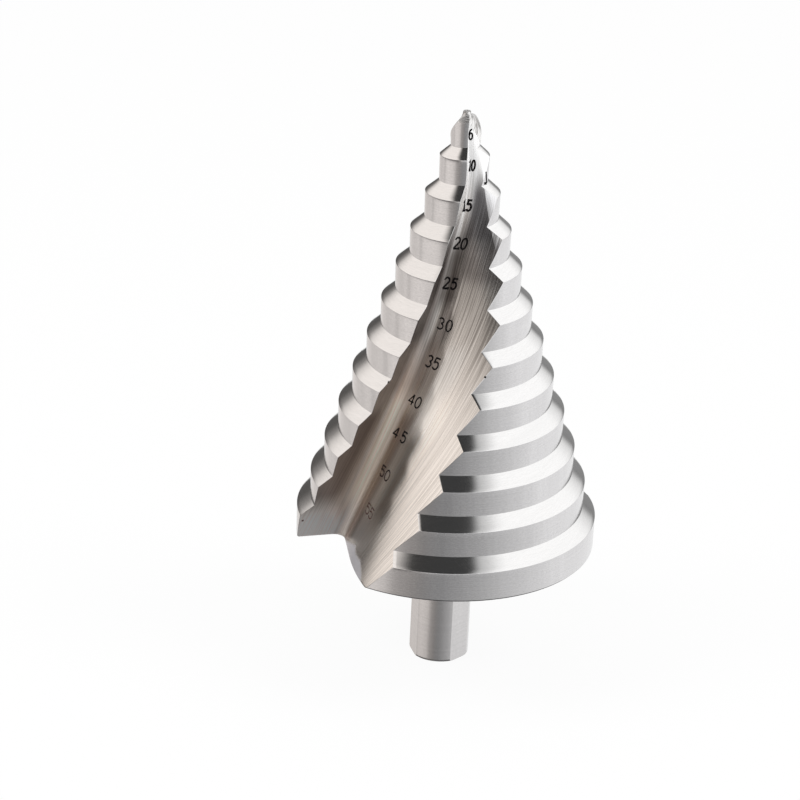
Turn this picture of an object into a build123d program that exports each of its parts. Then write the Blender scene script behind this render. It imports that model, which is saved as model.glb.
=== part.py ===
# Step drill: a stepped cone of tool steel with two helical flutes, a ground point
# and a round shank with three flats for the chuck jaws.
# The origin is the middle of the shank's end face, and +Z runs up the axis to the point.

from build123d import *
from math import radians, tan
import os

# Driving dimensions, in millimetres and degrees

# Cutting steps, from the point down
step_diameters = (6, 10, 15, 20, 25, 30, 35, 40, 45, 50, 55, 60)
step_pitch = 7.5
first_land_height = 3.8
last_land_height = 6.2
chamfer_angle = 45.0
rim_chamfer = 0.3

# Point
point_height = 2.7
chisel_diameter = 1.8
chisel_height = 0.3

# Shank
shank_diameter = 12.0
shank_length = 26.0
shank_end_radius = 0.4
neck_chamfer = 1.0
flat_count = 3
flat_length = 21.0
flat_depth = 0.5
flat_phase = -42.0

# Flutes: a V with a nearly radial rake face and a long wall that bulges towards the heel
flute_count = 2
flute_phase = 185.6
flute_twist = 0.90
flute_twist_gain = 0.0015
web_radius_at_base = 20.4
web_radius_control = 8.2
web_radius_at_point = 0.85
rake_angle = 11.0
included_angle = 82.5
wall_flat_length = 10.6
wall_bulge_radius = 60.0
wall_bulge_angle = 38.0
valley_radius_at_base = 2.0
valley_radius_at_point = 0.3
section_count = 9
overrun_at_base = 3.0
overrun_at_point = 0.5


def step_outline():
    """The half profile of the lands and chamfers, from the underside up to the point."""
    radii = [diameter / 2 for diameter in reversed(step_diameters)]
    foot = shank_length
    head = shank_length + last_land_height
    points = [(radii[0] - rim_chamfer, foot)]
    foot += rim_chamfer
    for radius, next_radius in zip(radii, radii[1:] + [0]):
        points += [(radius, foot), (radius, head)]
        rise = (radius - next_radius) / tan(radians(chamfer_angle))
        foot = head + rise
        head += step_pitch if next_radius > radii[-1] else rise + first_land_height
    return points


lands = step_outline()
chisel_foot = lands[-1][1] + point_height
top = chisel_foot + chisel_height
fluted_length = top - shank_length


def flute_turn(level):
    """Direction of the flute's valley at a height above the underside, in degrees."""
    return flute_phase + flute_twist * level + flute_twist_gain * level**2


def along_flute(level, at_base, control, at_point):
    """A size that changes smoothly along the flute, from its two ends and a control value."""
    share = level / fluted_length
    return (1 - share) ** 2 * at_base + 2 * share * (1 - share) * control + share**2 * at_point


def flute_section(level, start):
    """One section across the flute: rake face, rounded valley and bulging wall."""
    web = along_flute(level, web_radius_at_base, web_radius_control, web_radius_at_point)
    size = web / web_radius_at_base
    share = min(max(level / fluted_length, 0), 1)
    valley_radius = valley_radius_at_base * (1 - share) + valley_radius_at_point * share
    reach = 1.5 * max(step_diameters) / 2
    turn = flute_turn(level) + start
    rake_direction = Vector(1, 0).rotate(Axis.Z, turn + rake_angle)
    wall_direction = rake_direction.rotate(Axis.Z, included_angle)
    middle = rake_direction.rotate(Axis.Z, (included_angle + wall_bulge_angle) / 2)
    valley = Vector(web, 0).rotate(Axis.Z, turn)
    with BuildSketch(Plane.XY.offset(shank_length + level)) as section:
        with BuildLine():
            rake = Line(valley + rake_direction * reach, valley)
            flat = Line(valley, valley + wall_direction * wall_flat_length * size)
            bulge = JernArc(flat @ 1, wall_direction, wall_bulge_radius * size, wall_bulge_angle)
            heel = Line(bulge @ 1, bulge @ 1 + bulge % 1 * reach)
            Polyline(heel @ 1, middle * 2 * reach, rake @ 0)
        make_face()
        fillet(section.vertices().sort_by_distance(valley)[0], valley_radius)
    return section.sketch


with BuildPart() as step_drill:
    # Stepped cone, point and shank in one turned profile
    with BuildSketch(Plane.XZ):
        with BuildLine():
            Polyline(
                (0, 0),
                (shank_diameter / 2, 0),
                (shank_diameter / 2, shank_length),
                *lands,
                (chisel_diameter / 2, chisel_foot),
                (0, top),
                close=True,
            )
        make_face()
    revolve(axis=Axis.Z)
    neck_edges = step_drill.edges().filter_by_position(Axis.Z, shank_length, shank_length)
    chamfer(neck_edges.sort_by(SortBy.RADIUS)[0], neck_chamfer)
    fillet(step_drill.edges().group_by(Axis.Z)[0], shank_end_radius)

    # Flats for the chuck jaws
    with BuildSketch(Plane.XY):
        with PolarLocations(shank_diameter / 2 - flat_depth, flat_count, flat_phase):
            Rectangle(flat_depth * 4, shank_diameter, align=(Align.MIN, Align.CENTER))
    extrude(amount=flat_length, mode=Mode.SUBTRACT)

    # Helical flutes, opposite each other
    cut_length = overrun_at_base + fluted_length + overrun_at_point
    levels = [cut_length * n / (section_count - 1) - overrun_at_base for n in range(section_count)]
    for flute in range(flute_count):
        start = flute * 360 / flute_count
        loft([flute_section(level, start) for level in levels], mode=Mode.SUBTRACT)

step_drill.part.label = "step_drill"

os.makedirs("parts", exist_ok=True)
export_step(step_drill.part, "parts/step_drill.step")
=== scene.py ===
# Step drill, dressed over its CAD body: stepped lands with their relief, two ground flutes,
# the sizes marked beside the steps, and a shank with three flats.
import bpy
import math
import numpy as np
from mathutils import Matrix, Vector


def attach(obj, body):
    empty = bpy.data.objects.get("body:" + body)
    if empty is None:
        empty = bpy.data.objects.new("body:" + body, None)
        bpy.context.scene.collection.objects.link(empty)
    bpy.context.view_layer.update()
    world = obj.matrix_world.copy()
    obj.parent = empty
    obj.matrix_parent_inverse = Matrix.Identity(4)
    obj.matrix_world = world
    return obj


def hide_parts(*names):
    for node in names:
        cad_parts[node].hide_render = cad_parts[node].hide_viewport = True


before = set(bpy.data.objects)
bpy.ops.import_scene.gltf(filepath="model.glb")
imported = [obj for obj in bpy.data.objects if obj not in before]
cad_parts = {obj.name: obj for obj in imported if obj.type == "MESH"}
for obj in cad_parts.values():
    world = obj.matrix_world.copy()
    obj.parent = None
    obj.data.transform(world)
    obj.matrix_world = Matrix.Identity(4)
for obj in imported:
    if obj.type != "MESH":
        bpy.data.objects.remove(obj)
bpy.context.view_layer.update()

mm = 0.001
print("frame loaded")


# the stepped outline, in millimetres; levels count up from the widest step's underside

steps = {
    "diameters": [60, 55, 50, 45, 40, 35, 30, 25, 20, 15, 10, 6],
    "firstHead": 6.5,        # top edge of the widest land, at its cutting edge
    "pitch": 7.515,
    "landHeight": 5.15,
    "backTaper": 0.0191,     # radius lost for each mm below a land's top edge
    "rimChamfer": 0.3,
    "rimInset": 0.1,         # how much further in the chamfer starts
    "landRows": 6,
    "edgeRound": 0.07,       # size of the rounding at a land's top edge
    "belowEdge": (0.12, 0.3), "aboveEdge": (0.45, 0.2),   # its rows: shares inward, and down or up
    "chamferRise": 0.91,     # rise of a chamfer for each mm of radius
    "chamferRows": 5,
    "chamferStart": 0.03,    # share of a chamfer below its first full row
    "footGap": 0.03,         # from a chamfer up to the next land
    "axialRelief": 0.62,     # drop from a cutting edge back to the heel
    "radialRelief": 0.283,
    "reliefTurn": 130.0,     # degrees of land that the relief is given for
    "reliefEnds": 89.9, "reliefFades": 4.0,   # the level where relief ends, and its fade below it
    "reliefRadius": 6.0,     # narrower lands have less radial relief
}

tip = {
    "lipLevel": 88.45,       # where the smallest land ends at the cutting lip
    "heelLevel": 84.0,       # and where it ends at its heel, behind the lip
    "fallFrom": 0.37, "fallBend": 1.15,   # share of the land where it starts to fall
    "landRows": 8,
    "taperHeight": 3.0,      # height of land that the back taper is taken over
    "chiselRadius": 0.72, "chiselLevel": 89.93,
    # the point's profile: shares of the way in, and of the way up
    "rows": [(0.02, 0.03), (0.1, 0.11), (0.2, 0.2), (0.35, 0.28), (0.52, 0.38),
             (0.68, 0.48), (0.82, 0.60), (0.92, 0.76), (0.98, 0.93), (1.0, 1.0)],
}


def stepRows():
    # one (radius, level, kind, drop) row for each ring; drop is how far the ring falls towards
    # the heel, apart from the steps' own relief
    radii = [diameter / 2 for diameter in steps["diameters"]]
    taper, soft, start = steps["backTaper"], steps["edgeRound"], steps["chamferStart"]
    foot, head = steps["rimChamfer"], steps["firstHead"]
    rows = [(radii[0] - steps["rimChamfer"] - steps["rimInset"], 0.0, "land", 0)]
    for radius, smaller in zip(radii, radii[1:]):
        for n in range(steps["landRows"] + 1):
            level = foot + (head - soft - foot) * n / steps["landRows"]
            rows.append((radius - taper * (head - level), level, "land", 0))
        inward, down = steps["belowEdge"]
        rows.append((radius - soft * inward, head - soft * down, "land", 0))
        inward, up = steps["aboveEdge"]
        rows.append((radius - soft * inward, head + soft * up, "chamfer", 0))
        nextFoot = smaller - taper * steps["landHeight"]
        rise = (radius - nextFoot) * steps["chamferRise"]
        for n in range(steps["chamferRows"] + 1):
            share = start + (1 - start) * n / steps["chamferRows"]
            rows.append((radius + (nextFoot - radius) * share, head + rise * share, "chamfer", 0))
        foot = head + rise + steps["footGap"]
        head = head + steps["pitch"]
    lip, fall = tip["lipLevel"], tip["lipLevel"] - tip["heelLevel"]
    for n in range(tip["landRows"] + 1):
        share = n / tip["landRows"]
        radius = radii[-1] - taper * tip["taperHeight"] * (1 - share)
        rows.append((radius, foot + (lip - foot) * share, "land", fall * share))
    for inward, upward in tip["rows"]:
        radius = radii[-1] + (tip["chiselRadius"] - radii[-1]) * inward
        rows.append((radius, lip + (tip["chiselLevel"] - lip) * upward, "point", fall * (1 - upward)))
    return rows


# the flutes' cross-section: a nearly radial rake face, a rounded valley, and a long wall
# that bulges towards the heel. Distance is measured from the middle of the valley, negative
# up the rake face and positive up the wall.

flutes = {
    "phase": 185.6, "twist": 0.90, "twistGain": 0.0015,
    "webBase": 20.4, "webControl": 8.2, "webPoint": 0.55,
    "rakeAngle": 11.0, "includedAngle": 82.5,
    "wallFlat": 10.6, "bulgeRadius": 60.0, "bulgeAngle": 38.0,
    "valleyBase": 2.1, "valleyPoint": 0.12, "valleyNarrows": (50.0, 82.0),
    "straightenFrom": 59.0, "straightenTo": 75.5,     # levels where the rake face leans back
    "straightenTurn": 15.0, "valleyShift": 1.17,      # its turn, and the valley's shift along the wall
    "shiftFades": (77.0, 87.0, 0.70),
    "brokenEdge": 0.05, "brokenShare": 0.1,           # the edges' width, and its share of a narrow rake
    "valleyShare": 0.6,      # the most of a narrow rake or wall that the valley's columns take
    "heelAhead": 0.8,        # roughly how far ahead of the valley the heel lies, in radians
    "reach": 90.0, "halvings": 44,                    # for the search along a section
    "rakeColumns": 18, "valleyColumns": 12, "wallColumns": 34,
    "landColumns": 88,
}
fullLevel = 90.0


def smooth(value, low, high):
    share = np.clip((value - low) / (high - low), 0, 1)
    return share * share * (3 - 2 * share)


def fluteTurn(level):
    return np.radians(flutes["phase"] + flutes["twist"] * level + flutes["twistGain"] * level ** 2)


def fluteSizes(level):
    # the web's radius, the section's scale, and the valley's radius
    share = np.clip(level / fullLevel, 0, 1)
    web = ((1 - share) ** 2 * flutes["webBase"] + 2 * share * (1 - share) * flutes["webControl"]
           + share ** 2 * flutes["webPoint"])
    narrowing = flutes["valleyPoint"] - flutes["valleyBase"]
    valley = flutes["valleyBase"] + narrowing * smooth(level, *flutes["valleyNarrows"])
    return web, web / flutes["webBase"], valley


def fluteAngles(level):
    # the rake face's direction, the wall's, and how far the valley has moved up the wall
    straight = smooth(level, flutes["straightenFrom"], flutes["straightenTo"])
    fadeFrom, fadeTo, fade = flutes["shiftFades"]
    rake = np.radians(flutes["rakeAngle"] - flutes["straightenTurn"] * straight)
    wall = math.radians(flutes["rakeAngle"] + flutes["includedAngle"])
    shift = flutes["valleyShift"] * straight * (1 - fade * smooth(level, fadeFrom, fadeTo))
    return rake, wall, shift


def valleyHalf(level):
    # half the length round the valley's curve
    rake, wall, shift = fluteAngles(level)
    return fluteSizes(level)[2] * (math.pi - (wall - rake)) / 2


def flutePoint(level, distance):
    level, distance = np.broadcast_arrays(np.asarray(level, float), np.asarray(distance, float))
    web, size, valley = fluteSizes(level)
    rake, wall, shift = fluteAngles(level)
    included = wall - rake
    bulge = math.radians(flutes["bulgeAngle"])
    tangent = valley / np.tan(included / 2)
    half = valleyHalf(level)
    # round the valley
    middle = (rake + wall) / 2
    spin = middle + math.pi - np.clip(distance, -half, half) / valley
    centre = valley / np.sin(included / 2)
    x = web + math.cos(wall) * shift + np.cos(middle) * centre + np.cos(spin) * valley
    y = math.sin(wall) * shift + np.sin(middle) * centre + np.sin(spin) * valley
    # up the rake face
    upRake = np.maximum(-distance - half, 0)
    x, y = x + np.cos(rake) * upRake, y + np.sin(rake) * upRake
    # up the wall: flat, then an arc, then straight again
    upWall = np.maximum(distance - half, 0)
    flat = np.maximum(flutes["wallFlat"] * size - tangent - shift, 0)
    along, rest = np.minimum(upWall, flat), np.maximum(upWall - flat, 0)
    radius = flutes["bulgeRadius"] * size
    arc = np.minimum(rest / radius, bulge)
    straight = np.maximum(rest - bulge * radius, 0)
    onWall = along + np.sin(arc) * radius + straight * math.cos(bulge)
    offWall = (1 - np.cos(arc)) * radius + straight * math.sin(bulge)
    x = x + math.cos(wall) * onWall - math.sin(wall) * offWall
    y = y + math.sin(wall) * onWall + math.cos(wall) * offWall
    turn = fluteTurn(level)
    return np.stack([x * np.cos(turn) - y * np.sin(turn), x * np.sin(turn) + y * np.cos(turn), level], -1)


def fluteNormal(level, distance):
    # the direction that the flute's surface faces, out of the steel
    small = 0.02
    across = flutePoint(level, distance + small) - flutePoint(level, distance - small)
    along = flutePoint(level + small, distance) - flutePoint(level - small, distance)
    normal = np.cross(across, along)
    return normal / np.maximum(np.linalg.norm(normal, axis=-1, keepdims=True), 1e-12)


def distanceAt(level, radius, side):
    # how far up the rake face (side -1) or the wall (side 1) the flute meets a radius
    level = np.asarray(level, float)
    low, high = np.zeros_like(level), np.full_like(level, flutes["reach"])
    for _ in range(flutes["halvings"]):
        middle = (low + high) / 2
        there = flutePoint(level, side * middle)
        inside = np.hypot(there[..., 0], there[..., 1]) < radius
        low, high = np.where(inside, middle, low), np.where(inside, high, middle)
    return side * (low + high) / 2


def bearing(points, near):
    angle = np.arctan2(points[..., 1], points[..., 0])
    return angle + 2 * math.pi * np.round((near - angle) / (2 * math.pi))


def bodyRings():
    # rings of points round the fluted body, from the underside to the chisel, with their places
    # on the finishes' map and the flutes' normals
    rows = stepRows()
    radius, level, drop = (np.array([row[n] for row in rows], float) for n in (0, 1, 3))
    relief = np.clip(level / steps["firstHead"], 0, 1)
    relief = relief * np.clip((steps["reliefEnds"] - level) / steps["reliefFades"], 0, 1)
    thinning = np.clip(radius / steps["reliefRadius"], 0, 1)
    edge = distanceAt(level, radius, -1)
    edgeAngle = bearing(flutePoint(level, edge), fluteTurn(level))
    # the relief at the heel and the turn from edge to heel depend on each other
    turn = np.full_like(level, math.radians(steps["reliefTurn"]))
    for _ in range(4):
        share = turn / math.radians(steps["reliefTurn"])
        heelRadius = radius - steps["radialRelief"] * relief * thinning * share
        heelLevel = level - steps["axialRelief"] * relief * share - drop
        heel = distanceAt(heelLevel, heelRadius, 1)
        heelAngle = bearing(flutePoint(heelLevel, heel), fluteTurn(level) + flutes["heelAhead"])
        turn = edgeAngle + math.pi - heelAngle

    # the flute's columns, from the cutting edge through the valley to the heel
    half = valleyHalf(level)
    broken = np.minimum(flutes["brokenEdge"], -edge * flutes["brokenShare"])
    most = flutes["valleyShare"]
    stops = [edge + broken, -np.minimum(half, -edge * most), np.minimum(half, heel * most), heel - broken]
    counts = [flutes["rakeColumns"], flutes["valleyColumns"], flutes["wallColumns"]]
    distances = [stops[0]]
    for start, end, count in zip(stops, stops[1:], counts):
        distances += [start + (end - start) * n / count for n in range(1, count + 1)]
    distances = np.stack(distances, 1)
    share = (distances - edge[:, None]) / (heel - edge)[:, None]
    levels = level[:, None] + (heelLevel - level)[:, None] * share
    flute = flutePoint(levels, distances)
    fluteMap = np.stack([distances, levels], -1)

    # the land's columns, from the heel round to the other cutting edge
    along = np.linspace(0, 1, flutes["landColumns"] + 1)[None, :]
    start, end = heelAngle + broken / radius, edgeAngle + math.pi - broken / radius
    angle = start[:, None] + (end - start)[:, None] * along
    landRadius = heelRadius[:, None] + (radius - heelRadius)[:, None] * along
    behind = 1 - along
    landLevel = level[:, None] - (level - heelLevel - drop)[:, None] * behind
    fall = np.clip((behind - tip["fallFrom"]) / (1 - tip["fallFrom"]), 0, 1) ** tip["fallBend"]
    landLevel = landLevel - drop[:, None] * fall
    land = np.stack([landRadius * np.cos(angle), landRadius * np.sin(angle), landLevel], -1)
    run = np.concatenate([[0], np.cumsum(np.hypot(np.diff(radius), np.diff(level)))])
    landMap = np.stack([angle * radius[:, None], np.broadcast_to(run[:, None], angle.shape)], -1)

    halfRing = np.concatenate([flute, land], 1)
    halfMap = np.concatenate([fluteMap, landMap], 1)
    halfNormal = np.concatenate([fluteNormal(levels, distances), land * 0], 1)
    ring, normal = (np.concatenate([part, part * [-1, -1, 1]], 1) for part in (halfRing, halfNormal))
    return ring, np.concatenate([halfMap, halfMap], 1), normal, [row[2] for row in rows], flute.shape[1]


# the shank

shank = {
    "length": 26.0, "radius": 6.0, "endRound": 0.4, "neck": 1.0,
    "flats": 3, "flatLength": 21.0, "flatRadius": 5.5, "flatPhase": -42.0,
    "flatColumns": 10, "roundColumns": 30,
    "neckRows": 3, "roundRows": 4, "flatRows": 16, "endRows": 5,
    "neckInset": 0.02,       # keeps the neck's hollow clear of the underside
    "flatRowsFrom": 1.0, "flatRowsTo": 0.2,   # from under the flats' top to above the rounding
}


def shankRing(radius, level, flattened):
    # one ring of the shank, whose columns follow the borders of the flats
    border = math.acos(min(shank["flatRadius"] / min(radius, shank["radius"]), 1))
    apart = math.tau / shank["flats"]
    points = []
    for flat in range(shank["flats"]):
        middle = math.radians(shank["flatPhase"]) + apart * flat
        spans = [(-border, border, shank["flatColumns"]), (border, apart - border, shank["roundColumns"])]
        for onFlat, (start, end, count) in zip((True, False), spans):
            for n in range(count):
                angle = start + (end - start) * n / count
                size = shank["flatRadius"] / math.cos(angle) if onFlat and flattened else radius
                points.append((size * math.cos(middle + angle), size * math.sin(middle + angle), level))
    return points


def shankRings():
    # from the neck down to the rounded end
    length, radius, neck, rounding = (shank[name] for name in ("length", "radius", "neck", "endRound"))
    inset, flatTop = shank["neckInset"], shank["flatLength"]
    rings = [shankRing(radius + neck, length, False)]
    for n in range(shank["neckRows"] + 1):
        bend = math.radians(90 * n / shank["neckRows"])
        out, down = neck * (1 - math.sin(bend)) * (1 - inset), neck * (1 - math.cos(bend)) + inset
        rings.append(shankRing(radius + out, length - down, False))
    for n in range(1, shank["roundRows"] + 1):
        level = length - neck - (length - neck - flatTop) * n / shank["roundRows"]
        rings.append(shankRing(radius, level, False))
    rings.append(shankRing(radius, flatTop, True))
    levels = np.linspace(flatTop - shank["flatRowsFrom"], rounding + shank["flatRowsTo"], shank["flatRows"])
    rings += [shankRing(radius, level, True) for level in levels]
    for n in range(shank["endRows"] + 1):
        bend = math.radians(90 * n / shank["endRows"])
        inward, level = rounding * (1 - math.cos(bend)), rounding * (1 - math.sin(bend))
        rings.append(shankRing(radius - inward, level, True))
    return rings


# the body's mesh; its finishes stand in the order of its material slots

bodyFinishes = ["landSteel", "fluteSteel", "pointSteel", "undersideSteel", "shankSteel", "chamferSteel"]
sharpAngle = 19              # degrees; a sharper bend stays a hard edge


def meshPiece(name, verts, faces, uvs):
    # a piece from points in millimetres and their places on the finishes' map, and its corners' points
    mesh = bpy.data.meshes.new(name)
    mesh.from_pydata([(x * mm, y * mm, z * mm) for x, y, z in verts], [], faces)
    layer = mesh.uv_layers.new(name="finish")
    corners = np.zeros(len(mesh.loops), int)
    mesh.loops.foreach_get("vertex_index", corners)
    layer.data.foreach_set("uv", np.array(uvs, np.float32)[corners].ravel())
    mesh.update()
    piece = bpy.data.objects.new(name, mesh)
    bpy.context.scene.collection.objects.link(piece)
    return piece, corners


def buildDrill():
    rings, maps, normals, kinds, fluteWidth = bodyRings()
    rowCount, width = rings.shape[:2]
    halfWidth = width // 2
    verts = [(x, y, z + shank["length"]) for x, y, z in rings.reshape(-1, 3)]
    uvs = [tuple(pair) for pair in maps.reshape(-1, 2)]
    faces, slots = [], []

    def addFace(finish, *corners):
        faces.append(corners)
        slots.append(bodyFinishes.index(finish))

    for row in range(rowCount - 1):
        onChamfer = kinds[row] == kinds[row + 1] == "chamfer"
        outside = "pointSteel" if kinds[row + 1] == "point" else "chamferSteel" if onChamfer else "landSteel"
        below, above = row * width, (row + 1) * width
        for column in range(width):
            beside = (column + 1) % width
            inFlute = column % halfWidth < fluteWidth - 1
            addFace("fluteSteel" if inFlute else outside,
                    below + column, below + beside, above + beside, above + column)
    chisel, apex = (rowCount - 1) * width, len(verts)
    verts.append((0, 0, fullLevel + shank["length"]))
    uvs.append((0.0, fullLevel))
    for column in range(width):
        addFace("pointSteel", chisel + column, chisel + (column + 1) % width, apex)

    # the underside in two halves, between the body's first ring and the neck
    base = len(verts)
    neckRings = shankRings()
    across = len(neckRings[0])
    for ring in neckRings:
        for x, y, z in ring:
            verts.append((x, y, z))
            uvs.append((math.atan2(y, x) * shank["radius"], z))
    halfLand = flutes["landColumns"] // 2
    cuts = [halfWidth - halfLand, width - halfLand]
    neck = np.array(neckRings[0])[:, :2] / (shank["radius"] + shank["neck"])
    rim = np.array([verts[cut][:2] for cut in cuts]) / (steps["diameters"][0] / 2)
    nearest = [int(np.argmin(np.hypot(*(neck - place).T))) for place in rim]
    for side in range(2):
        start, end = cuts[side], cuts[1 - side] + (width if side else 0)
        outer = [n % width for n in range(start, end + 1)]
        first, final = nearest[side], nearest[1 - side]
        inner = [base + n % across for n in range(first, first + (final - first) % across + 1)]
        addFace("undersideSteel", *reversed(outer), *inner)

    for row in range(len(neckRings) - 1):
        above, below = base + row * across, base + (row + 1) * across
        for column in range(across):
            beside = (column + 1) % across
            addFace("shankSteel", above + beside, above + column, below + column, below + beside)
    bottom = base + (len(neckRings) - 1) * across
    addFace("shankSteel", *(bottom + n for n in reversed(range(across))))

    body, corners = meshPiece("drillBody", verts, faces, uvs)
    body.data.polygons.foreach_set("material_index", slots)
    body.data.polygons.foreach_set("use_smooth", [True] * len(faces))
    body.data.update()
    body.data.set_sharp_from_angle(angle=math.radians(sharpAngle))

    # exact normals on the flutes; a zero vector keeps the mesh's own
    exact = np.zeros((len(verts), 3))
    exact[:rowCount * width] = normals.reshape(-1, 3)
    cornerNormals = exact[corners]
    inFlutes = np.array(slots) == bodyFinishes.index("fluteSteel")
    cornerNormals[~np.repeat(inFlutes, [len(face) for face in faces])] = 0
    body.data.normals_split_custom_set(cornerNormals.tolist())
    return body


drill = buildDrill()
print("body meshed:", len(drill.data.vertices), "points")


# shader maths: a value adds its own Math nodes

class Value:
    def __init__(self, make, socket):
        self.make, self.socket = make, socket

    def __add__(self, other):
        return self.make.maths("ADD", self, other)

    def __radd__(self, other):
        return self.make.maths("ADD", other, self)

    def __sub__(self, other):
        return self.make.maths("SUBTRACT", self, other)

    def __rsub__(self, other):
        return self.make.maths("SUBTRACT", other, self)

    def __mul__(self, other):
        return self.make.maths("MULTIPLY", self, other)

    def __rmul__(self, other):
        return self.make.maths("MULTIPLY", other, self)

    def __truediv__(self, other):
        return self.make.maths("DIVIDE", self, other)

    def __rtruediv__(self, other):
        return self.make.maths("DIVIDE", other, self)


class Maker:
    # adds nodes to one material or to the world
    def __init__(self, owner):
        owner.use_nodes = True
        self.tree = owner.node_tree
        self.tree.nodes.clear()

    def add(self, kind, settings=None, sockets=None, out=0):
        # out names the output that comes back, or is a tuple of them
        node = self.tree.nodes.new(kind)
        for name, value in (settings or {}).items():
            if name == "stops":
                self.setStops(node.color_ramp.elements, value)
            else:
                setattr(node, name, value)
        for name, value in (sockets or {}).items():
            if isinstance(value, Value):
                self.tree.links.new(value.socket, node.inputs[name])
            else:
                node.inputs[name].default_value = value
        if isinstance(out, tuple):
            return [Value(self, node.outputs[name]) for name in out]
        return Value(self, node.outputs[out]) if len(node.outputs) else None

    def setStops(self, stops, graph):
        # a ramp's stops, from (place, height) pairs
        while len(stops) < len(graph):
            stops.new(0.5)
        for stop, (place, height) in zip(stops, graph):
            stop.position, stop.color = place, (height, height, height, 1)

    def maths(self, operation, *values):
        return self.add("ShaderNodeMath", {"operation": operation}, dict(enumerate(values)))

    def ease(self, value, low, high, start=0.0, end=1.0):
        return self.add("ShaderNodeMapRange", {"interpolation_type": "SMOOTHSTEP"},
                        {0: value, 1: low, 2: high, 3: start, 4: end})

    def ramp(self, value, graph):
        return self.add("ShaderNodeValToRGB", {"stops": graph}, {0: value})

    def blend(self, factor, first, second):
        return self.add("ShaderNodeMix", {"data_type": "RGBA"}, {0: factor, 6: first, 7: second}, 2)

    def tinted(self, factor, colour, tint):
        return self.add("ShaderNodeMix", {"data_type": "RGBA", "blend_type": "MULTIPLY"},
                        {0: factor, 6: colour, 7: tint}, 2)

    def noise(self, vector, scale, detail, roughness):
        return self.add("ShaderNodeTexNoise", {"noise_dimensions": "3D"},
                        {"Vector": vector, "Scale": scale, "Detail": detail, "Roughness": roughness})

    def pattern(self, place, across, along, detail, roughness):
        # noise stretched over the finishes' map
        stretched = self.add("ShaderNodeVectorMath", {"operation": "MULTIPLY"},
                             {0: place, 1: (across, along, 1.0)})
        return self.noise(stretched, 1.0, detail, roughness)


def rgb(r, g, b):
    return (r, g, b, 1.0)


# steel finishes; the map is in millimetres, along a land and up its outline, or across
# a flute and along it

finishes = {
    "landSteel": {"light": rgb(0.84, 0.83, 0.835), "dark": rgb(0.66, 0.65, 0.655), "rough": 0.15,
                  "lines": (0.05, 7.0), "aniso": 0.3, "turn": 0.0, "bump": 0.06, "grain": 0.40},
    "chamferSteel": {"light": rgb(0.87, 0.86, 0.855), "dark": rgb(0.76, 0.755, 0.75), "rough": 0.12,
                     "lines": (0.08, 7.0), "aniso": 0.2, "turn": 0.0, "bump": 0.05, "grain": 0.88},
    "fluteSteel": {"light": rgb(1.0, 0.95, 0.90), "dark": rgb(0.76, 0.715, 0.67), "rough": 0.235,
                   "lines": (4.4, 0.03), "aniso": 0.8, "turn": 0.25, "bump": 0.45, "grain": 0.0},
    "pointSteel": {"light": rgb(1.0, 0.99, 0.98), "dark": rgb(0.80, 0.79, 0.78), "rough": 0.42,
                   "lines": (1.6, 2.2), "aniso": 0.0, "turn": 0.0, "bump": 0.5, "grain": 0.0},
    "undersideSteel": {"light": rgb(0.66, 0.65, 0.64), "dark": rgb(0.56, 0.55, 0.54), "rough": 0.25,
                       "lines": (0.3, 0.3), "aniso": 0.3, "turn": 0.0, "bump": 0.1, "grain": 0.0},
    # the shank's steel is set darker than the lands': painted shade under the widest step
    "shankSteel": {"light": rgb(0.78, 0.765, 0.765), "dark": rgb(0.66, 0.645, 0.645), "rough": 0.2,
                   "lines": (0.04, 2.5), "aniso": 0.3, "turn": 0.0, "bump": 0.05, "grain": 0.0},
}
# scale across and along the map, detail and roughness
patterns = {
    "lines": (4.0, 0.65),    # its scale is each finish's own
    "blotch": (0.08, 0.08, 3.0, 0.5),
    "speckle": (1.5, 4.4, 3.0, 0.65),
    "bands": (0.55, 0.02, 3.0, 0.6),
    "scores": (4.2, 0.05, 3.0, 0.6),
    "waves": (0.8, 4.2, 1.5, 0.5),
}
# where each pattern turns from dark to light, and its share of the tone
groundTone = {"lines": (0.40, 0.58, 0.85), "blotch": (0.3, 0.7, 0.15)}
turnedTone = {"lines": (0.33, 0.67, 0.3), "blotch": (0.3, 0.7, 0.15),
              "speckle": (0.35, 0.65, 0.4), "bands": (0.35, 0.65, 0.15)}
details = {
    "roughVaries": 0.08,
    "bumpDepth": 0.00002,
    # painted shade on the widest step's lower edge
    "rimShade": (0.5, 0.38), "rimTint": rgb(0.12, 0.11, 0.12),       # the widest step's lower edge
    "pointWaves": (0.48, 0.58), "waveTint": rgb(0.42, 0.41, 0.40), "pointMetal": 0.85,
}
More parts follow.
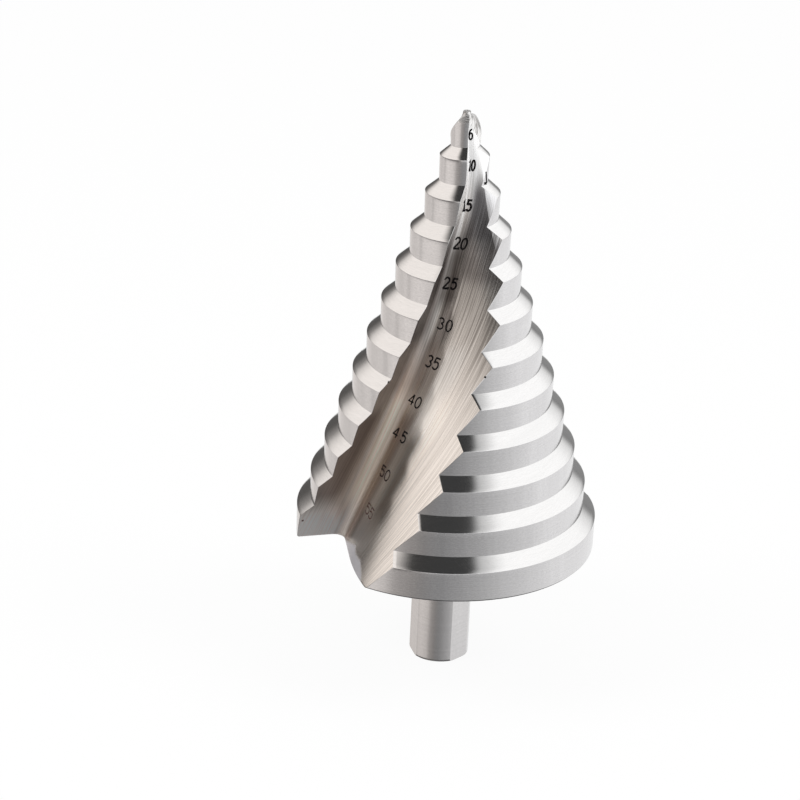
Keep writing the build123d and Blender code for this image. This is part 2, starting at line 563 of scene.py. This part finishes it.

# painted shade and painted highlights along the flutes, in place of their reflections: each patch rises and
# falls over four distances and four levels, and colours the steel there; "beyond" counts from the heel's
# crease
fromRake, toHeel = (-60, -50), (60, 70)
patches = {
    "rakeLow": {"distances": (*fromRake, -5.8, -2.8), "levels": (6, 12, 29, 35),
                "tint": rgb(0.38, 0.345, 0.335)},
    "rakeMiddle": {"distances": (*fromRake, 2.6, 4.0), "levels": (31, 37, 44, 48),
                   "tint": rgb(0.66, 0.63, 0.62)},
    "rakeHigh": {"distances": (*fromRake, -0.8, 1.2), "levels": (43, 48, 60, 66),
                 "tint": rgb(0.34, 0.325, 0.33)},
    "rakeTop": {"distances": (*fromRake, -0.8, 0.8), "levels": (60, 66, 67, 72),
                "tint": rgb(0.60, 0.595, 0.61)},
    "valleySheen": {"distances": (-2.6, -1.2, 0.2, 1.6), "levels": (4, 14, 34, 46),
                    "tint": rgb(1.2, 1.09, 1.0)},
    "valleyShade": {"distances": (0.7, 1.9, 3.6, 6.5), "levels": (-6, -2, 28, 36),
                    "tint": rgb(0.42, 0.36, 0.335)},
    "valleyHigh": {"distances": (-0.6, 0.4, 2.2, 3.8), "levels": (50, 55, 62, 68),
                   "tint": rgb(0.36, 0.345, 0.34)},
    "wallFoot": {"distances": (5.5, 7.5, 11, 13), "levels": (8, 16, 30, 40),
                 "tint": rgb(1.25, 1.22, 1.2)},
    "wallHigh": {"distances": (2.0, 3.5, *toHeel), "levels": (56, 60, 64, 67),
                 "tint": rgb(0.56, 0.545, 0.55)},
    "wedge": {"distances": (0.5, 2.3, *toHeel), "beyond": (*fromRake, -0.15, 0.1),
              "levels": (63, 67, 74, 79.5), "tint": rgb(0.28, 0.275, 0.285)},
    "facet": {"beyond": (-0.1, 0.1, *toHeel), "levels": (58, 64, 80, 84),
              "tint": rgb(1.18, 1.2, 1.24)},
    "rakeFoot": {"distances": (*fromRake, -1.5, 0.5), "levels": (-5, -4, 3, 9),
                 "tint": rgb(1.25, 1.18, 1.22)},
    "tipWall": {"distances": (*fromRake, *toHeel), "levels": (74, 82, 95, 96),
                "tint": rgb(1.3, 1.32, 1.34)},
}
# dull bands, which take more of the soft light
dullBands = {
    "rakeEdge": {"distances": (-3.6, -2.0, -0.9, 0.6), "levels": (4, 11, 43, 49), "dull": 0.27},
    "wallEdge": {"distances": (4.6, 6.2, 8.5, 11), "levels": (25, 31, 43, 48), "dull": 0.36},
    "tipWall": {"distances": (0.3, 1.0, *toHeel), "levels": (81, 86, 95, 96), "dull": 0.6},
}
crease = {"level": 80.76, "distance": 2.28, "slope": 0.13, "bend": 0.0145}
# the foot of each flute turns to a pale, half-metallic strip: its top by distance
footStrip = {
    "top": [(0.08, 0.08), (0.246, 0.44), (0.40, 0.78), (0.49, 0.60), (0.65, 0.66), (0.80, 0.36), (0.92, 0.0)],
    "span": 24, "height": 4, "soft": 0.9, "colour": rgb(0.66, 0.64, 0.67), "metallic": 0.5,
}
# the whole flute: it turns from brown to neutral towards the point, is scored by the grinding
# wheel, most in the middle and on the wall, and is rougher in the valley and on the rake face
fluteWear = {
    "neutral": (55, 74), "neutralTint": rgb(0.95, 0.985, 1.03),
    "scores": (0.40, 0.62), "scoreTint": rgb(0.50, 0.49, 0.48),
    "scoredFrom": (30, 50), "scoredTo": (68, 76), "scoredElsewhere": 0.2,
    "scoredWall": (-1.0, 3.0), "scoredRake": 0.4,
    "softTo": (1.2, 3.0), "softEnds": (64, 72), "softRough": 0.15,
}


def patchMask(make, places, patch):
    # one inside the patch's stops, and nothing outside them
    mask = 1.0
    for name, value in places.items():
        if name in patch:
            rise, top, fall, end = patch[name]
            mask = make.ease(value, rise, top) * (1 - make.ease(value, fall, end)) * mask
    return mask


def fluteFinish(make, place, colour):
    # the flute's colour with its painted shade and highlights, how soft its grinding is, and how metallic it
    # is
    distance, level = make.add("ShaderNodeSeparateXYZ", {}, {0: place}, ("X", "Y"))
    below = crease["level"] - level
    beyond = distance - (crease["distance"] + below * (crease["slope"] + below * crease["bend"]))
    places = {"distances": distance, "beyond": beyond, "levels": level}
    wear = fluteWear
    colour = make.tinted(make.ease(level, *wear["neutral"]), colour, wear["neutralTint"])
    # the patches' painted shade and painted highlights
    for patch in patches.values():
        colour = make.tinted(patchMask(make, places, patch), colour, patch["tint"])
    scores = make.ease(make.pattern(place, *patterns["scores"]), *wear["scores"])
    least, rake = wear["scoredElsewhere"], wear["scoredRake"]
    scored = make.ease(level, *wear["scoredFrom"]) * (1 - make.ease(level, *wear["scoredTo"]))
    scored = scored * (1 - least) + least
    scored = scored * (make.ease(distance, *wear["scoredWall"]) * (1 - rake) + rake)
    colour = make.tinted(scores * scored, colour, wear["scoreTint"])
    soft = (1 - make.ease(distance, *wear["softTo"])) * (1 - make.ease(level, *wear["softEnds"]))
    top = make.ramp(distance / footStrip["span"], footStrip["top"]) * footStrip["height"]
    foot = make.ease(top - level, 0.0, footStrip["soft"])
    metal = 1 - foot * (1 - footStrip["metallic"])
    for band in dullBands.values():
        metal = metal - patchMask(make, places, band) * band["dull"]
    return make.blend(foot, colour, footStrip["colour"]), soft * wear["softRough"], metal


def steelFinish(name):
    look = finishes[name]
    material = bpy.data.materials.new(name)
    make = Maker(material)
    place = make.add("ShaderNodeUVMap", {"uv_map": "finish"})
    noises = {"lines": make.pattern(place, *look["lines"], *patterns["lines"])}
    for kind in ("blotch", "speckle"):
        noises[kind] = make.pattern(place, *patterns[kind])
    tones = groundTone if name == "fluteSteel" else turnedTone
    if "bands" in tones:
        noises["bands"] = make.pattern(place, *patterns["bands"])
    tone = sum(make.ease(noises[kind], low, high) * share for kind, (low, high, share) in tones.items())
    colour = make.blend(tone, look["dark"], look["light"])
    rough, metal = look["rough"] + (noises["blotch"] - 0.5) * details["roughVaries"], 1.0
    if name == "landSteel":
        run, = make.add("ShaderNodeSeparateXYZ", {}, {0: place}, ("Y",))
        # painted shade along the widest step's lower edge
        colour = make.tinted(make.ease(run, *details["rimShade"]), colour, details["rimTint"])
    if name == "pointSteel":
        waves = make.ease(make.pattern(place, *patterns["waves"]), *details["pointWaves"])
        colour, metal = make.tinted(waves, colour, details["waveTint"]), details["pointMetal"]
    if name == "fluteSteel":
        colour, rougher, metal = fluteFinish(make, place, colour)
        rough = rough + rougher
    height = noises["lines"] + noises["speckle"] * look["grain"]
    relief = make.add("ShaderNodeBump", {}, {
        "Strength": look["bump"], "Distance": details["bumpDepth"], "Height": height})
    steel = make.add("ShaderNodeBsdfPrincipled", {}, {
        "Base Color": colour, "Metallic": metal, "Roughness": rough, "Normal": relief,
        "Anisotropic": look["aniso"], "Anisotropic Rotation": look["turn"]})
    make.add("ShaderNodeOutputMaterial", {}, {"Surface": steel})
    return material


for name in bodyFinishes:
    drill.data.materials.append(steelFinish(name))
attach(drill, "root")
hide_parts("step_drill")
print("finishes made")


# the step sizes, marked in the flutes beside the steps: each digit is drawn with strokes in a
# box one wide and one high, and laid on the flute as a thin film

numerals = {
    # text: (level, distance, height, width, spacing, lean in degrees, stroke)
    "6": (85.6, 0.46, 1.90, 0.70, 1.0, 3, 0.34),
    "10": (79.78, 0.50, 1.95, 0.62, 0.66, 4, 0.38),
    "15": (72.2, 0.52, 2.05, 0.90, 0.98, 8, 0.44),
    "20": (64.9, 1.29, 2.15, 1.02, 1.40, 11, 0.38),
    "25": (57.1, 1.40, 2.15, 1.06, 1.60, 11, 0.38),
    "30": (49.2, 2.90, 2.20, 1.26, 1.91, 5, 0.32),
    "35": (41.6, 3.40, 2.30, 1.32, 1.80, 11, 0.35),
    "40": (33.35, 3.09, 2.25, 1.40, 1.90, 10, 0.34),
    "45": (26.0, 3.32, 2.25, 1.50, 2.73, 10, 0.36),
    "50": (17.8, 4.68, 2.20, 1.70, 2.20, 5, 0.32),
    "55": (9.7, 6.66, 2.10, 1.95, 2.25, 0, 0.26),
}
# small dark nicks: (level, distance, length, width)
nicks = [(41.75, 15.4, 0.35, 0.42), (38.5, -6.9, 0.5, 0.30), (77.5, 3.5, 2.2, 0.26),
         (76.4, 3.42, 0.5, 0.5), (4.7, -9.6, 0.5, 0.4)]
film = {
    "proud": 0.012, "sunk": 0.03,
    "stagger": 0.003,        # from one stroke of a digit to the next
    "sharpest": 0.5, "longestMitre": 1.5,
}


def arc(x, y, wide, high, start, end, count=14):
    angles = np.radians(np.linspace(start, end, count))
    return [(x + wide * math.cos(angle), y + high * math.sin(angle)) for angle in angles]


digits = {
    "0": [arc(0, 0, 0.5, 0.5, 90, 450, 28)],
    "1": [[(-0.36, 0.26), (0.04, 0.5), (0.04, -0.5)], [(-0.34, -0.5), (0.42, -0.5)]],
    "2": [arc(0, 0.22, 0.46, 0.28, 165, -25) + [(-0.5, -0.5)], [(-0.5, -0.5), (0.5, -0.5), (0.5, -0.36)]],
    "3": [arc(-0.04, 0.26, 0.44, 0.24, 150, -85), arc(-0.02, -0.24, 0.5, 0.26, 85, -150)],
    "4": [[(0.5, -0.2), (-0.5, -0.2), (0.2, 0.5)], [(0.2, 0.5), (0.2, -0.5)]],
    "5": [[(0.44, 0.5), (-0.36, 0.5), (-0.42, 0.02)], arc(-0.02, -0.17, 0.48, 0.33, 145, -150, 18)],
    "6": [arc(0.1, 0.02, 0.56, 0.48, 75, 190, 12), arc(0, -0.18, 0.46, 0.32, 180, 540, 24)],
}
nickStroke = [(0, -0.5), (0, -0.2), (0, 0.2), (0, 0.5)]


def strokeSides(points, width):
    # the two sides of a stroke, mitred at its bends
    points = np.array(points, float)
    ahead = np.diff(points, axis=0)
    ahead /= np.linalg.norm(ahead, axis=1, keepdims=True)
    before, after = np.vstack([ahead[:1], ahead]), np.vstack([ahead, ahead[-1:]])
    if np.allclose(points[0], points[-1]):
        before[0], after[-1] = ahead[-1], ahead[0]
    joint = before + after
    joint /= np.linalg.norm(joint, axis=1, keepdims=True)
    mitre = 1 / np.maximum((joint * before).sum(1), film["sharpest"])
    mitre = np.minimum(mitre, film["longestMitre"])[:, None]
    aside = np.stack([-joint[:, 1], joint[:, 0]], 1) * mitre * width / 2
    return points + aside, points - aside


def layOnFlute(places, level, distance, lean):
    # the levels and distances of places given across and along the flute from one spot
    step = 0.01
    along = (flutePoint(level + step, distance) - flutePoint(level - step, distance)) / (2 * step)
    across = (flutePoint(level, distance + step) - flutePoint(level, distance - step)) / (2 * step)
    slide = along @ across
    climb = np.linalg.norm(along - across * slide)
    u = places[:, 0] + places[:, 1] * math.tan(math.radians(lean))
    return level + places[:, 1] / climb, distance + u - slide * places[:, 1] / climb


def markStrokes():
    # every stroke of the digits and nicks: its points, place, lean, width, and layer
    strokes = []
    for text, (level, distance, high, wide, spacing, lean, width) in numerals.items():
        for number, digit in enumerate(text):
            middle = distance + (number - (len(text) - 1) / 2) * spacing
            for layer, points in enumerate(digits[digit]):
                strokes.append((np.array(points) * (wide, high), level, middle, lean, width, layer))
    for level, distance, length, width in nicks:
        strokes.append((np.array(nickStroke) * (1, length), level, distance, 0, width, 0))
    return strokes


def buildNumerals():
    # each stroke is a closed strip, top and foot, once on each flute
    verts, faces, uvs = [], [], []
    for points, level, distance, lean, width, layer in markStrokes():
        sides = strokeSides(points, width)
        proud, sunk = film["proud"] + film["stagger"] * layer, -film["sunk"]
        rows = []
        for side, lift in ((0, proud), (1, proud), (1, sunk), (0, sunk)):
            at = layOnFlute(sides[side], level, distance, lean)
            rows.append(flutePoint(*at) + fluteNormal(*at) * lift)
        count = len(points)
        for sign in (1, -1):
            base = len(verts)
            for row in rows:
                verts += [(x * sign, y * sign, z + shank["length"]) for x, y, z in row]
                uvs += [(distance, z) for x, y, z in row]
            for n in range(count - 1):
                for side in range(4):
                    a, b = base + side * count + n, base + (side + 1) % 4 * count + n
                    faces.append((a, b, b + 1, a + 1))
            ends = [base + side * count for side in range(4)]
            faces += [tuple(reversed(ends)), tuple(end + count - 1 for end in ends)]
    return meshPiece("sizeMarks", verts, faces, uvs)[0]


# burnt black, worn to a faint brown on the widest steps
burntMark = {
    "faint": rgb(0.07, 0.04, 0.034), "faintLevels": (9, 22),
    "black": rgb(0.003, 0.003, 0.004), "worn": rgb(0.022, 0.018, 0.018),
    "patchy": (2500.0, 2.0, 0.6), "patches": (0.35, 0.75),
    "rough": 0.8, "specular": 0.04,
}


def markFinish():
    material = bpy.data.materials.new("burntMark")
    make, look = Maker(material), burntMark
    place = make.add("ShaderNodeUVMap", {"uv_map": "finish"})
    level, = make.add("ShaderNodeSeparateXYZ", {}, {0: place}, ("Y",))
    patchy = make.noise(make.add("ShaderNodeTexCoord", {}, {}, "Object"), *look["patchy"])
    black = make.blend(make.ease(patchy, *look["patches"]), look["black"], look["worn"])
    colour = make.blend(make.ease(level, *look["faintLevels"]), look["faint"], black)
    burnt = make.add("ShaderNodeBsdfPrincipled", {}, {
        "Base Color": colour, "Roughness": look["rough"], "Specular IOR Level": look["specular"]})
    make.add("ShaderNodeOutputMaterial", {}, {"Surface": burnt})
    return material


marks = buildNumerals()
marks.data.materials.append(markFinish())
marks.visible_glossy = False
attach(marks, "root")
print("sizes marked:", len(marks.data.polygons), "faces")


# the studio: a white surround with a dim front, a gap overhead between two soft lights,
# and a darker band just under the horizon

studio = {
    # brightness by turn: 0 is the back, 0.25 the left, 0.5 the front, 0.75 the right
    "below": [(0.0, 0.82), (0.06, 0.78), (0.10, 0.72), (0.145, 0.68), (0.20, 0.76), (0.212, 0.62),
              (0.226, 0.62), (0.238, 0.77), (0.275, 0.84), (0.32, 0.82), (0.365, 0.76), (0.40, 0.42),
              (0.455, 0.285), (0.50, 0.295), (0.545, 0.39), (0.59, 0.50), (0.635, 0.64), (0.68, 0.74),
              (0.72, 0.83), (0.765, 0.93), (1.0, 0.93)],
    "above": [(0.0, 0.90), (0.22, 0.96), (0.29, 0.96), (0.335, 0.85), (0.37, 0.68), (0.40, 0.49),
              (0.414, 0.44), (0.43, 0.29), (0.445, 0.17), (0.467, 0.12), (0.50, 0.09), (0.525, 0.12),
              (0.545, 0.28), (0.578, 0.55), (0.597, 1.05), (0.62, 1.15), (1.0, 1.15)],
    # brightness by height, behind to the right and left
    "backRight": [(0.0, 0.22), (0.06, 0.28), (0.13, 0.68), (0.18, 0.87), (0.28, 1.0), (0.5, 1.17)],
    "backLeft": [(0.03, 0.11), (0.16, 0.27), (0.27, 0.70), (0.4, 0.88), (0.5, 1.0)],
    # and of the floor far below, by height above straight down
    "floor": [(0.0, 0.40), (0.04, 0.34), (0.08, 0.24), (0.12, 0.14), (1.0, 0.13)],
    "floorEdge": (-0.56, -0.47),
    # where each quarter starts and is full
    "right": (-0.12, 0.12), "left": (0.25, 0.5), "back": (0.55, 0.8), "front": (0.1, 0.6),
    # two soft lights overhead, the right one brighter, with a dim gap between them
    "overhead": (0.3, 0.5), "leansForward": 0.5, "rightBrighter": 0.17,
    "gap": 0.045, "gapLeft": (-0.50, -0.28), "gapRight": (0.225, 0.325), "gapStep": 0.55, "gapEnd": 0.52,
    # the band under the horizon, at the left and behind
    "bandLeft": 0.10, "bandRight": 0.27, "bandFoot": (-0.29, -0.24), "bandBack": (0.2, 0.6),
    # the horizon, which is higher at the left and higher still at the left front
    "horizonLeft": 0.03, "horizonFront": 0.09, "horizonSoft": 0.012,
    # a bright strip in front, across the horizon
    "strip": [(0.0, 0.0), (0.42, 0.0), (0.465, 1.0), (0.70, 1.0), (0.75, 0.0)],
    "stripFoot": (-0.25, -0.18), "stripHead": (0.12, 0.17), "stripLight": 1.12,
    "diffuse": 0.62,
    # the light from the left is a little warm
    "warm": rgb(1.02, 0.965, 0.925), "warmFrom": (-0.05, -0.4),
}


def buildStudio():
    world = bpy.data.worlds.new("studio")
    bpy.context.scene.world = world
    make, look = Maker(world), studio
    toward = make.add("ShaderNodeTexCoord", {}, {}, "Generated")
    x, y, z = make.add("ShaderNodeSeparateXYZ", {}, {0: toward}, ("X", "Y", "Z"))
    turn = make.maths("ARCTAN2", x, y * -1) / math.tau + 0.5
    rightward, leftward = make.ease(x, *look["right"]), make.ease(x * -1, *look["left"])
    backward, forward = make.ease(y, *look["back"]), make.ease(y * -1, *look["front"])

    # above the horizon
    backLeft, backRight = make.ramp(z, look["backLeft"]), make.ramp(z, look["backRight"])
    back = backLeft + rightward * (backRight - backLeft)
    side = make.ramp(turn, look["above"])
    low = side + backward * (back - side)
    fromLeft = 1 - make.ease(x, *look["gapLeft"])
    fromRight = make.ease(x, *look["gapRight"]) * make.ease(
        x, look["gapRight"][1], look["gapEnd"], look["gapStep"], 1.0)
    lit = fromLeft + fromRight
    high = (1.0 + rightward * look["rightBrighter"]) * lit + look["gap"] * (1 - lit)
    overhead = make.ease(z + make.maths("MINIMUM", y, 0.0) * look["leansForward"], *look["overhead"])
    upper = low + overhead * (high - low)

    # below the horizon
    lower = make.ramp(turn, look["below"])
    floor = make.ramp(z + 1, look["floor"])
    lower = floor + make.ease(z, *look["floorEdge"]) * (lower - floor)
    bandSides = make.maths("MAXIMUM", leftward, make.ease(y, *look["bandBack"]))
    band = make.ease(z, *look["bandFoot"]) * bandSides
    bandLight = look["bandLeft"] + rightward * (look["bandRight"] - look["bandLeft"])
    lower = lower + band * (bandLight - lower)

    horizon = z - leftward * (look["horizonLeft"] + forward * look["horizonFront"]) * (1 - backward)
    light = lower + make.ease(horizon, -look["horizonSoft"], look["horizonSoft"]) * (upper - lower)
    strip = make.ramp(turn, look["strip"]) * make.ease(z, *look["stripFoot"])
    strip = strip * (1 - make.ease(z, *look["stripHead"]))
    light = light + strip * (look["stripLight"] - light)

    # metal mirrors all that, matt surfaces take a plain light, and the camera sees white
    camera, glossy = make.add("ShaderNodeLightPath", {}, {}, ("Is Camera Ray", "Is Glossy Ray"))
    strength = look["diffuse"] + glossy * (light - look["diffuse"])
    strength = strength + camera * (1 - strength)
    colour = make.blend(glossy * make.ease(x, *look["warmFrom"]), rgb(1, 1, 1), look["warm"])
    background = make.add("ShaderNodeBackground", {}, {"Color": colour, "Strength": strength})
    make.add("ShaderNodeOutputWorld", {}, {"Surface": background})


floorPaper = {"radius": 4.0, "sides": 64, "colour": rgb(0.92, 0.92, 0.92), "white": 0.93}


def buildFloor():
    # white to the camera, apart from the object's shadow
    mesh = bpy.data.meshes.new("floor")
    size, count = floorPaper["radius"], floorPaper["sides"]
    angles = [math.tau * n / count for n in range(count)]
    ring = [(size * math.cos(angle), size * math.sin(angle), 0) for angle in angles]
    mesh.from_pydata(ring, [], [tuple(range(count))])
    floor = bpy.data.objects.new("floor", mesh)
    bpy.context.scene.collection.objects.link(floor)
    paper = bpy.data.materials.new("paper")
    make = Maker(paper)
    camera = make.add("ShaderNodeLightPath", {}, {}, "Is Camera Ray")
    matt = make.add("ShaderNodeBsdfDiffuse", {}, {"Color": floorPaper["colour"]})
    glow = make.add("ShaderNodeEmission", {}, {"Color": rgb(1, 1, 1), "Strength": 1.0})
    mixed = make.add("ShaderNodeMixShader", {}, {0: camera * floorPaper["white"], 1: matt, 2: glow})
    make.add("ShaderNodeOutputMaterial", {}, {"Surface": mixed})
    mesh.materials.append(paper)
    floor.visible_glossy = False


lamps = {
    # place, diameter and power
    "leftLight": ((-0.7, -0.25, 0.8), 0.5, 4.0),
    "rightLight": ((0.7, -0.15, 0.8), 0.5, 4.0),
}
lampAim = Vector((0, 0, 0.04))


def addLamp(name, place, size, power):
    data = bpy.data.lights.new(name, "AREA")
    data.shape, data.size, data.energy = "DISK", size, power
    lamp = bpy.data.objects.new(name, data)
    lamp.location = place
    lamp.rotation_euler = (lampAim - Vector(place)).to_track_quat("-Z", "Y").to_euler()
    lamp.visible_glossy = False
    bpy.context.scene.collection.objects.link(lamp)


buildStudio()
buildFloor()
for name, lamp in lamps.items():
    addLamp(name, *lamp)
print("studio lit")


# the camera, at the photograph's angle: its place in millimetres, its turns in degrees, and
# its focal length in pixels of the frame

view = {"back": 592.39, "height": 313.22, "pitch": 23.546, "yaw": -0.9898, "roll": 2.6766, "focal": 3257.3}
lens = {"sensor": 36, "framePixels": 800, "clip": (0.01, 20)}


def buildCamera():
    pitch, yaw, roll = (math.radians(view[name]) for name in ("pitch", "yaw", "roll"))
    forward = Vector((math.sin(yaw) * math.cos(pitch), math.cos(yaw) * math.cos(pitch), -math.sin(pitch)))
    right = Vector((math.cos(yaw), -math.sin(yaw), 0))
    up = right.cross(forward)
    tiltedRight = right * math.cos(roll) + up * math.sin(roll)
    tiltedUp = up * math.cos(roll) - right * math.sin(roll)
    data = bpy.data.cameras.new("camera")
    data.sensor_width = lens["sensor"]
    data.lens = view["focal"] * lens["sensor"] / lens["framePixels"]
    data.clip_start, data.clip_end = lens["clip"]
    camera = bpy.data.objects.new("camera", data)
    place = Matrix((tiltedRight, tiltedUp, -forward)).transposed().to_4x4()
    place.translation = Vector((0, -view["back"], view["height"])) * mm
    camera.matrix_world = place
    bpy.context.scene.collection.objects.link(camera)
    bpy.context.scene.camera = camera


buildCamera()
bpy.context.scene.view_settings.view_transform = "Standard"
print("camera set")
